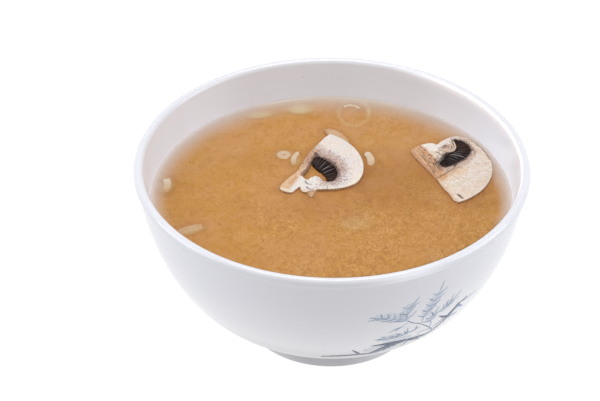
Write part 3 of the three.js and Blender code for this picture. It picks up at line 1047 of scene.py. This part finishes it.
def fleshMaterial(name, form):
    material, shade = newMaterial(name)
    plane = stored(shade, "plane", vector=True)  # millimetres in the slice's own plane
    along = stored(shade, "along", vector=True)  # the same, turned to the grain of the flesh
    toGills, toEdge = stored(shade, "toGills"), stored(shade, "toEdge")
    halo, low = stored(shade, "halo"), stored(shade, "low")
    cloud = grain(plane, 0.16, 3, 0.6)
    pores = grain(plane, 2.3, 2, 0.7)
    mottle = grain(plane, 1.7, 3, 0.6)
    dots = grain(plane, 2.4, 2, 0.6)
    streaks = grain(scaled(along, form["streak"]), 1.5, 3, 0.6, 0.4)
    strands = grain(scaled(plane, (0.35, 2.4, 1.0)), 1.2, 4, 0.7, 0.5)
    threads = grain(scaled(plane, (0.35, 2.2, 1.0)), 1.3, 3, 0.65, 0.3)
    wash = between(mottle, 0.25, 0.6, 0.55, 1)
    stemTone = layered(blend(between(strands, 0.36, 0.62), form["stemPale"], form["stemTan"]), [
        (between(mottle, 0.54, 0.72) * 0.5, flesh["barkPale"]),
        (between(threads, 0.55, 0.65) * form["streakShow"], flesh["maroon"]),
    ])
    base = layered(blend(between(cloud, 0.42, 0.58), form["flesh"], form["cool"]), [
        (between(streaks, 0.5, 0.6) * form["streakShow"], form["blotch"]),
        (between(streaks, 0.38, 0.48, form["streakShow"], 0), form["cool"]),
        (between(mottle, 0.52, 0.72) * 0.2, flesh["peach"]),
        (between(toEdge + mottle * 0.8, 0.5, 1.5, 1, 0) * 0.9, flesh["cream"]),
        (between(pores, 0.52, 0.62) * form["pores"] * 1.4, flesh["milk"]),
        (between(pores, 0.36, 0.48, form["pores"], 0), form["blotch"]),
        (stored(shade, "stem"), stemTone),
        (stored(shade, "milk"), blend(mottle, flesh["milk"], form["cool"])),
        (stored(shade, "moss"), flesh["moss"]),
        (stored(shade, "warm"), flesh["peach"]),
        (stored(shade, "gold") * wash, flesh["gold"]),
        (stored(shade, "rust") * wash, flesh["rust"]),
        (stored(shade, "cream") * wash, flesh["cream"]),
        (stored(shade, "brown") * wash, flesh["tan"]),
        (between(toGills, 0.0, form["haloSize"] * 0.55, 0.75, 0) * wash, form["blush"]),
    ])
    for scale, size, strength in ((1.25, 0.3, 0.95), (2.0, 0.32, 0.9)):
        cells = shade.node("ShaderNodeTexVoronoi", {}, {"Vector": plane, "Scale": scale})
        chance = shade.node("ShaderNodeSeparateColor", {}, {0: cells.other(1)})
        kept = between(chance - halo.maths("POWER", halo, 1.3) * 0.66, -0.03, 0.03, 1, 0)
        speck = between(cells, size, size + 0.16, 1, 0) * kept * strength
        speckTone = blend(chance * 3, flesh["plum"], flesh["speckle"])
        base = blend(speck * between(halo, 0.0, 0.08), base, speckTone)
    skinTone = blend(grain(plane, 1.4, 4, 0.6), flesh["bark"], flesh["barkPale"])
    skinTone = blend(between(toEdge, 0.1, 2.2, 0.75, 0), skinTone, flesh["barkEdge"])
    # the sides painted lighter for the less light they get
    sideTone = blend(between(mottle, 0.4, 0.6), flesh["side"], flesh["sidePale"])
    base = layered(base, [
        (between(toGills + dots * 1.8, 0.9, 2.0, 0.92, 0), flesh["soot"]),
        (stored(shade, "soot") * between(dots, 0.3, 0.5, 0.4, 1), flesh["soot"]),
        (low, skinTone),
        (stored(shade, "skin"), sideTone),
        (stored(shade, "shade") * between(mottle, 0.3, 0.6, 0.8, 1), flesh["maroon"]),
        (between(toEdge + mottle * 0.5, 0.26, 0.5, 0.6, 0) * (1 - low), flesh["edge"]),
        # painted shade along the step down to the lower parts
        (low * (1 - low) * 2.0, flesh["maroon"]),
        (stored(shade, "dark"), flesh["umber"]),
        (between(pores, 0.36, 0.5, 0.22, 0), flesh["maroon"]),
        (between(pores, 0.52, 0.66) * 0.3, flesh["cream"]),
    ])
    finishMaterial(shade, {
        "Base Color": base,
        "Roughness": between(strands, 0.3, 0.7, 0.36, 0.55),
        "IOR": 1.38,
        "Subsurface Weight": 0.08,
        "Subsurface Radius": (0.0010, 0.0007, 0.0005),
        "Subsurface Scale": 1.0,
        "Normal": bumped(streaks * 0.6 + dots * 0.4, 0.35, 0.14 * mm),
    })
    return material


def makeFlesh(node, form):
    points, normals, faces = fineCopy(node + "_cut", node, flesh["voxel"], flesh["softening"])
    plane = toSlice(form, points)
    gillsTree = flatNode(node + "_gills")
    toGills = nearest(gillsTree, points)
    toEdge = nearest(edgeTree(node, gillsTree), points)
    up = smoothStep(normals[:, 2], 0.2, 0.8)
    low = belowCut(points, up)
    skin = (1 - smoothStep(normals[:, 2], 0.25, 0.75)) * smoothStep(toGills, 0.8, 1.6)
    flat = raised(plane)
    toStem = pathDistance(plane, spline(form["stem"], 20)) + 0.8 * roughness(flat, 3.0)
    stem = 1 - smoothStep(toStem, form["stemWidth"] - 1.0, form["stemWidth"] + 0.7)
    dark = strokeMask(plane, ("dark", "dash"), form)
    rise = flesh["bow"] * roughness(flat, 11.0, 2.0)
    rise += flesh["fibre"] * roughness(flat * np.array([0.25, 1.6, 1]), 1.0, 5.0)
    points[:, 2] += up * (rise - flesh["crackDepth"] * dark)
    out = flesh["sideUneven"] * roughness(points, 2.2, 9.0) * (1 - up)
    points[:, :2] += normals[:, :2] * out[:, None]
    halo = (1 - smoothStep(toGills, 0.2, form["haloSize"])) * (1 - 0.3 * stem)
    halo = np.maximum(halo, 0.85 * strokeMask(plane, ("brown",), form))
    halo *= 1 - 0.85 * strokeMask(plane, ("milk",), form)
    attributes = {
        "plane": np.column_stack([plane, points[:, 2]]),
        "along": np.column_stack([turned(plane, form["streakTurn"]), points[:, 2]]),
        "toGills": toGills, "toEdge": toEdge, "stem": stem * up, "halo": halo, "skin": skin,
        "low": low, "dark": dark * up,
    }
    for kind in ("shade", "soot"):
        attributes[kind] = strokeMask(plane, (kind,), form)
    for kind in ("warm", "milk", "moss", "brown", "gold", "rust", "cream"):
        attributes[kind] = strokeMask(plane, (kind,), form) * up
    material = fleshMaterial(node + "_cutFlesh", form)
    piece = meshPiece(node + "_flesh", points, faces, material, attributes)
    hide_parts(node)


def gillsMaterial():
    material, shade = newMaterial("mushroomGills")
    plane = stored(shade, "plane", vector=True)
    base = layered(blend(grain(plane, 1.6, 4, 0.6), *lamellae["dark"]), [
        (stored(shade, "brown"), blend(grain(plane, 2.0, 3), *lamellae["brown"])),
        (stored(shade, "nearFlesh"), blend(grain(plane, 3.0, 3), *lamellae["joint"])),
        (between(grain(plane, 3.2, 1), 0.7, 0.74) * 0.6, lamellae["crumb"]),
        # the plates' pale edges, partly painted highlight
        (stored(shade, "pale"), blend(grain(plane, 2.4, 3), *lamellae["litCrest"])),
    ])
    finishMaterial(shade, {
        "Base Color": base,
        "Roughness": between(grain(plane, 2.0, 2), 0.3, 0.7, 0.35, 0.6),
        "IOR": 1.38,
        "Normal": bumped(grain(plane, 3.5, 3), 0.4, 0.1 * mm),
    })
    return material


def platePoints(back, front, top, thick, bend):
    # one gill plate as a closed slab with a wavy top edge, from the flesh to the hollow
    along = front - back
    length = np.linalg.norm(along)
    along /= length
    across = np.array([-along[1], along[0]])
    points = []
    for t in np.linspace(0, 1, lamellae["steps"] + 1):
        middle = back + along * length * t + across * bend * math.sin(math.pi * t)
        high = top - lamellae["drop"] * (1 + 0.5 * math.sin(5 * t + bend * 30)) - 0.4 * t * t
        half = across * thick / 2 * (1 - 0.35 * t)
        points += [(*(middle + half * offset), high - down) for offset, down in lamellae["top"]]
        points += [(*(middle + half * offset), top - lamellae["depth"]) for offset in (1, -1)]
    return points


def makeGills(node, form, material):
    rng = np.random.default_rng(form["seed"])
    bed, normals, faces = fineCopy(node + "_bed", node + "_gills", gillBed["voxel"],
                                    gillBed["softening"])
    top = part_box(node + "_gills")[1].z / mm - lamellae["below"]
    inPlane = toSlice(form, bed)
    backPath, frontPath = spline(form["gillBack"], 60), spline(form["gillFront"], 60)
    isFront = pathDistance(inPlane, frontPath) < pathDistance(inPlane, backPath)
    grow = np.where(isFront, form["gillSpread"], gillBed["grow"])
    bed[:, :2] += normals[:, :2] * grow[:, None]
    bed[:, 2] -= smoothStep(normals[:, 2], 0.2, 0.7) * gillBed["drop"] + gillBed["lower"]
    points, pale = [tuple(p) for p in bed], [0.0] * len(bed)
    count, steps, ring = form["gills"], lamellae["steps"], len(lamellae["top"]) + 2
    middle = (count - 1) * form["bright"][0]
    back = fromSlice(form, alongPath(backPath, np.linspace(0.04, 0.96, count)))
    front = fromSlice(form, alongPath(frontPath, np.linspace(0.02, 0.98, count)))
    for k in range(count):
        reach = 1 + rng.normal(0, 0.04)
        lively = math.exp(-((k - middle) / (count * form["bright"][1])) ** 2)
        shine = rng.uniform(0.6, 1.0) * lively if k % 2 else rng.uniform(0.0, 0.08)
        thick = lamellae["thickness"] * (rng.uniform(0.7, 1.2) + 0.6 * shine)
        tip = back[k] + (front[k] - back[k]) * reach
        faces += sweptFaces(steps + 1, ring, len(points))
        points += platePoints(back[k], tip, top, thick, rng.normal(0, 0.14))
        start, end = rng.uniform(0.1, 0.4), rng.uniform(0.7, 1.0)
        for step in range(steps + 1):
            # painted highlight along part of each plate's pale crest
            litCrest = 1.0 if start < step / steps < end else 0.1
            pale += [0.1 * shine, shine * litCrest, shine * litCrest] + [0.1 * shine] * (ring - 3)
    points = np.array(points)
    plane = toSlice(form, points)
    attributes = {
        "plane": np.column_stack([plane, points[:, 2]]),
        "pale": pale,
        "brown": 1 - smoothStep(np.linalg.norm(plane - form["brownGills"], axis=1), 1.5, 6.5),
        "nearFlesh": 1 - smoothStep(pathDistance(plane, backPath), 0.2, 2.0),
    }
    piece = meshPiece(node + "_lamellae", points, faces, material, attributes,
                      smooth=False)
    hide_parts(node + "_gills")


def tube(path, radii, sides):
    # the points of a tube along a path in space, ring after ring
    points = []
    for middle, along, radius in zip(path, np.gradient(path, axis=0), radii):
        forward = Vector(along).normalized()
        side = forward.cross(Vector((0, 0, 1))).normalized()
        over = side.cross(forward)
        for j in range(sides):
            a = 2 * math.pi * j / sides
            points.append(Vector(middle) + (side * math.cos(a) + over * math.sin(a)) * radius)
    return [tuple(p) for p in points]


def makeCurl(form):
    middle = np.array(curl["middle"])
    points, faces = [], []
    for size, radius in curl["turns"]:
        flat = fromSlice(form, middle + (spline(curl["path"], 40) - middle) * size)
        t = np.linspace(0, 1, len(flat))
        path = np.column_stack([flat, curl["height"] - 0.1 / size + 0.12 * np.sin(9 * t)])
        radii = radius * (0.35 + 0.65 * np.sin(math.pi * (0.08 + 0.84 * t)) ** 0.6)
        faces += sweptFaces(len(path), curl["sides"], len(points))
        points += tube(path, radii, curl["sides"])
    points = np.array(points)
    points[:, 2] = np.minimum(points[:, 2], curl["height"] + 0.3)
    material, shade = newMaterial("rolledVeil")
    spot = place(shade)
    strands = grain(spot, 1500, 3, 0.6, 0.6)
    tone = blend(strands, curl["pale"], curl["tan"])
    tone = blend(between(strands, 0.56, 0.66) * 0.7, tone, curl["dark"])
    finishMaterial(shade, {
        "Base Color": tone,
        "Roughness": between(strands, 0.3, 0.7, 0.35, 0.55),
        "IOR": 1.38,
        "Normal": bumped(strands, 0.4, 0.1 * mm),
    })
    meshPiece("mushroom_right_veil", points, faces, material)


def makeMushrooms():
    gills = gillsMaterial()
    for node, form in slices.items():
        makeFlesh(node, form)
        makeGills(node, form, gills)
        print(node, "made")
    makeCurl(slices["mushroom_right"])


onion = {
    "voxel": 0.13,
    "softening": 3,
    "uneven": 0.09,
    # for each piece: how much fuller it is than the cut arc, how much the soup dulls it, how far it sinks
    "pieces": [(0.75, 0.55, 0.15), (0.05, 0.4, 0.15), (0.6, 0.25, 0.1), (0.1, 0.1, 0.1),
               (0.35, 0.85, 0.2), (0.15, 0.0, 0.0)],
    "cream": lit(226, 204, 172),
    "milk": lit(234, 222, 202),
    "green": lit(206, 196, 150),
    "film": lit(208, 162, 112),  # soup over its lower parts
}


def onionMaterial():
    material, shade = newMaterial("springOnion")
    spot = place(shade)
    above = stored(shade, "above")
    ribs = grain(scaled(spot, (1, 1, 0.15)), 1300, 3, 0.6)
    base = blend(between(grain(spot, 420, 3), 0.4, 0.6), onion["milk"], onion["cream"])
    base = blend(between(ribs, 0.5, 0.7) * 0.3, base, onion["green"])
    wet = between(above + grain(spot, 420, 2) * 0.5, 0.2, 0.95, 1, 0.05)
    base = blend(wet.maths("MAXIMUM", wet, stored(shade, "veil")), base, onion["film"])
    finishMaterial(shade, {
        "Base Color": base,
        "Roughness": between(ribs, 0.3, 0.7, 0.22, 0.38),
        "IOR": 1.38,
        "Normal": bumped(ribs, 0.25, 0.08 * mm),
    })
    return material


def makeOnions():
    material = onionMaterial()
    for k, (swell, veil, sink) in enumerate(onion["pieces"], 1):
        node = "spring_onion_%d" % k
        points, normals, faces = fineCopy(node + "_cut", node, onion["voxel"], onion["softening"])
        uneven = onion["uneven"] * roughness(points, 1.1, k * 3.1)
        points[:, :2] += normals[:, :2] * (swell + uneven)[:, None]
        points[:, 2] += normals[:, 2] * uneven - sink
        attributes = {"above": points[:, 2] - soupLevel, "veil": np.full(len(points), veil)}
        piece = meshPiece(node + "_wet", points, faces, material, attributes)
        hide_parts(node)
    print("spring onion made")


# Places on the outer wall are (degrees round the bowl, millimetres up the wall from the foot).
bamboo = {
    "seed": 21,
    "proud": 0.035,
    "step": 0.0004,  # each stroke stands this much prouder than the last one
    "rows": ((-1, 0.0, 0.0), (-0.55, 0.9, 0.8), (0, 1.0, 1.0), (0.55, 0.9, 0.8), (1, 0.0, 0.0),
             (0, -2.0, 0.0)),  # across a stroke: place, height and strength of ink
    "spread": 5,  # degrees by which the leaves' lean varies
    "wash": colour(206, 217, 228),
    "pale": colour(158, 176, 202),
    "blue": colour(104, 128, 170),
    "slate": colour(24, 44, 84),
}
stems = [  # path, widths along it, depth of ink
    {"path": [(-93, 27.6), (-88, 28.6), (-82.5, 29.2), (-78.8, 29.1), (-75.9, 28.1), (-73.0, 29.6),
              (-71.0, 33.4), (-67.9, 34.8), (-65, 35.4), (-62.4, 36.0), (-58.5, 35.0), (-55.2, 34.0),
              (-52.4, 35.6), (-50.8, 39.4), (-49.2, 42.4), (-47.6, 47), (-45.8, 50), (-43.2, 52)],
     "widths": [1.6, 2.6, 3.0, 3.0, 2.8, 5.2, 4.8, 2.1, 1.7, 2.0, 3.0, 2.2, 1.3, 1.4, 1.6, 1.7, 1.4, 0.8],
     "ink": 0.95},
    {"path": [(-54.6, 39.2), (-52.6, 42.0), (-49.9, 44.6), (-47.8, 48.2), (-46.7, 51.4)],
     "widths": [0.3, 0.5, 0.9, 0.7, 0.3], "ink": 0.85},
    {"path": [(-52.4, 35.6), (-54.2, 38.6), (-56.5, 42.3), (-61.0, 48.0), (-63.7, 50.2), (-66, 52.7)],
     "widths": [0.6, 0.5, 0.5, 0.45, 0.4, 0.35], "ink": 0.75},
    {"path": [(-60.4, 40.2), (-57.8, 40.4), (-54.6, 39.2)], "widths": [0.3, 0.35, 0.3], "ink": 0.5},
    {"path": [(-55.6, 40.6), (-56.6, 46.2), (-60.4, 48.8), (-60.6, 52.6)], "widths": [0.35, 0.3, 0.3, 0.3],
     "ink": 0.5},
]
# Sprays have a path from base to tip, leaf pairs, and for each side the leaves' lean and length.
sprays = [
    {"path": [(-66, 52.7), (-69, 55.0), (-73.4, 57.6), (-76.2, 58.6)], "pairs": 5,
     "below": (24, 5.0), "above": (52, 3.2), "ink": 0.34},
    {"path": [(-66, 52.9), (-67, 57.4), (-66.9, 60.4), (-66.1, 62.2)], "pairs": 3,
     "below": (62, 3.4), "above": (44, 4.8), "ink": 0.32},
    {"path": [(-63.4, 43.2), (-66.6, 43.6), (-70.0, 43.2), (-73.4, 43.2)], "pairs": 4,
     "below": (22, 4.4), "above": (40, 3.0), "ink": 0.46},
    {"path": [(-65.8, 51.4), (-68.2, 49.2), (-69.6, 48.4)], "pairs": 1,
     "below": (20, 3.4), "above": (20, 3.0), "ink": 0.32},
    {"path": [(-60.6, 51.0), (-60.0, 56.0), (-58.4, 60.4), (-57.6, 63.4), (-57.2, 65.4)], "pairs": 5,
     "below": (66, 3.6), "above": (36, 5.2), "ink": 0.32},
    {"path": [(-56.6, 46.2), (-57.4, 50.0), (-56.8, 52.4)], "pairs": 3,
     "below": (60, 3.2), "above": (44, 3.8), "ink": 0.36},
    {"path": [(-54.4, 50.8), (-52.2, 54.0), (-50.4, 56.4)], "pairs": 3,
     "below": (44, 4.6), "above": (26, 4.4), "ink": 0.32},
]
leaves = [  # single bold leaves: base, tip, width, depth of ink
    ((-79.0, 29.6), (-82.4, 36.2), 1.7, 1.0),
    ((-62.4, 36.2), (-76.6, 38.4), 2.8, 1.0),
    ((-62.8, 35.8), (-73.0, 36.0), 2.0, 0.95),
    ((-72.6, 31.0), (-76.0, 27.8), 2.4, 0.9),
    ((-69.0, 33.8), (-70.4, 29.2), 2.4, 0.85),
    ((-62.2, 35.8), (-56.2, 31.4), 2.8, 0.95),
    ((-62.0, 35.8), (-63.4, 29.5), 0.9, 0.7),
    ((-66.0, 35.4), (-68.8, 31.4), 0.9, 0.7),
    ((-48.6, 43.6), (-54.2, 48.4), 1.6, 1.0),
    ((-46.4, 50.4), (-38.6, 51.0), 0.55, 0.5),
    ((-47.0, 49.6), (-42.4, 45.2), 1.6, 0.6),
    ((-49.4, 42.6), (-43.6, 42.0), 1.3, 0.6),
    ((-61.8, 44.0), (-61.8, 47.2), 0.9, 0.42),
    ((-64.2, 43.4), (-65.2, 48.0), 0.7, 0.42),
    ((-63.8, 43.4), (-60.6, 45.6), 0.6, 0.7),
]
washes = [  # pale blue shadows behind: path, width
    {"path": [(-66.6, 54.6), (-71, 57.4), (-77, 58.6)], "width": 6.0},
    {"path": [(-67.2, 56), (-67, 60), (-66, 63)], "width": 5.5},
    {"path": [(-60.4, 52), (-59.0, 58.0), (-57.0, 64.4)], "width": 6.0},
    {"path": [(-58, 47), (-56.4, 53)], "width": 6.0},
    {"path": [(-54, 51), (-50.6, 56)], "width": 6.0},
    {"path": [(-64, 43), (-70, 43.2), (-74, 43.4)], "width": 5.5},
    {"path": [(-76, 28.6), (-70, 33), (-62, 36), (-54, 34.4), (-49, 42), (-46, 49.5)], "width": 6.5},
    {"path": [(-78, 33.0), (-70, 37.4), (-62, 38.6)], "width": 8.0},
]


wallScale = np.array([math.radians(1) * 68, 1.0])  # millimetres for a degree round, and for one up
wallLine = wallProfile(400)
wallOut = wallNormals(wallLine)
wallLength = float(np.linalg.norm(np.diff(wallLine, axis=0), axis=1).sum())


def wallPlace(angle, run, out):
    # a point on the outer wall, at an angle and a run up from the foot, or outside it
    at = np.array([min(max(run, 0), wallLength) / wallLength])
    radius, height = alongPath(wallLine, at)[0] + alongPath(wallOut, at)[0] * out
    a = math.radians(angle)
    return radius * math.cos(a), radius * math.sin(a), height


def brushStroke(path, widths, ink, layer, store):
    # a thin closed stroke over the glaze, its ink strongest along the middle
    store["count"] += 1
    store["faces"] += sweptFaces(len(path), len(bamboo["rows"]), len(store["points"]))
    flat = np.asarray(path, float) * wallScale
    along = np.gradient(flat, axis=0)
    along /= np.linalg.norm(along, axis=1)[:, None]
    across = np.stack([-along[:, 1], along[:, 0]], 1)
    proud = bamboo["proud"] * (0.6 + 0.4 * layer) + bamboo["step"] * store["count"]
    for middle, sideways, width in zip(flat, across, widths):
        for offset, high, strength in bamboo["rows"]:
            angle, run = (middle + sideways * offset * width / 2) / wallScale
            store["points"].append(wallPlace(angle, run, proud * high))
            store["ink"].append(ink)
            store["edge"].append(strength)


def leafStroke(base, tip, width, ink, layer, store, rng):
    # a leaf: quickly broad, then a long taper, slightly bowed
    base, tip = np.array(base, float) * wallScale, np.array(tip, float) * wallScale
    bow = np.array([-(tip - base)[1], (tip - base)[0]]) * rng.normal(0, 0.05)
    t = np.linspace(0, 1, 9)
    path = base + (tip - base) * t[:, None] + bow * np.sin(math.pi * t)[:, None]
    shape = np.sin(math.pi * t ** 0.6) ** 0.9
    brushStroke(path / wallScale, width * shape + 0.08, ink, layer, store)


def spray(form, store, rng):
    # a thin twig with pairs of leaves that lean towards its tip
    path, ink = spline(form["path"], 24), form["ink"]
    brushStroke(path, np.linspace(0.36, 0.16, len(path)), ink, 0.2, store)
    for k in range(form["pairs"]):
        t = (k + 0.5) / form["pairs"]
        here, ahead = alongPath(path, np.array([t * 0.95, t * 0.95 + 0.05])) * wallScale
        along = (ahead - here) / np.linalg.norm(ahead - here)
        for side, (lean, size) in ((-1, form["above"]), (1, form["below"])):
            lean += rng.normal(0, bamboo["spread"])
            tip = here + turned(along, -lean * side) * (size * rng.uniform(0.85, 1.1))
            width, depth = rng.uniform(0.36, 0.5), ink * rng.uniform(1.1, 1.9)
            leafStroke(here / wallScale, tip / wallScale, width, depth, 0.5, store, rng)
    along = (path[-1] - path[-4]) * wallScale
    along *= form["above"][1] / np.linalg.norm(along)
    leafStroke(path[-2], path[-2] + along / wallScale, 0.45, ink * 1.3, 0.5, store, rng)


def inkMaterial():
    material, shade = newMaterial("bambooInk")
    ink, edge = stored(shade, "ink"), stored(shade, "edge")
    mottle = grain(place(shade), 650, 3, 0.6)
    stops = [(0.0, bamboo["wash"]), (0.12, bamboo["wash"]), (0.34, bamboo["pale"]), (0.62, bamboo["blue"]),
             (0.95, bamboo["slate"])]
    tone = shade.node("ShaderNodeValToRGB", {"stops": stops}, {0: ink + (mottle - 0.5) * 0.35 * ink})
    soft = between(edge, 0.0, 1.0) * between(mottle, 0.3, 0.6, 0.2, 0.45)
    crisp = between(edge, 0.05, 0.8) * between(mottle + ink, 0.3, 1.0, 0.7, 1)
    bold = between(ink, 0.12, 0.28)
    cover = shade.node("ShaderNodeMix", {"data_type": "FLOAT"}, {0: bold, 2: soft, 3: crisp})
    finishMaterial(shade, {
        "Base Color": tone, "Roughness": between(mottle, 0.3, 0.7, 0.12, 0.2), "IOR": 1.5, "Alpha": cover,
    })
    return material


def makeBamboo():
    store = {"points": [], "faces": [], "ink": [], "edge": [], "count": 0}
    rng = np.random.default_rng(bamboo["seed"])
    for wash in washes:
        path = spline(wash["path"], 20)
        widths = wash["width"] * (0.5 + 0.5 * np.sin(np.linspace(0.1, 3.0, len(path))))
        brushStroke(path, widths, 0.0, 0.0, store)
    for form in sprays:
        spray(form, store, rng)
    for stem in stems:
        path, given = spline(stem["path"], 60), stem["widths"]
        widths = np.interp(np.linspace(0, 1, len(path)), np.linspace(0, 1, len(given)), given)
        widths *= 1 + 0.15 * np.sin(np.linspace(0, 31, len(path)))
        brushStroke(path, widths, stem["ink"], 0.8, store)
    for base, tip, width, ink in leaves:
        leafStroke(base, tip, width, ink, 1.0, store, rng)
    meshPiece("bamboo_print", store["points"], store["faces"], inkMaterial(),
              {"ink": store["ink"], "edge": store["edge"]})
    print("bamboo print made,", len(store["faces"]), "faces")


makeCamera()
makeLights()
makeFloor()
makeBowl()
makeSoup()
makeMushrooms()
makeOnions()
makeBamboo()
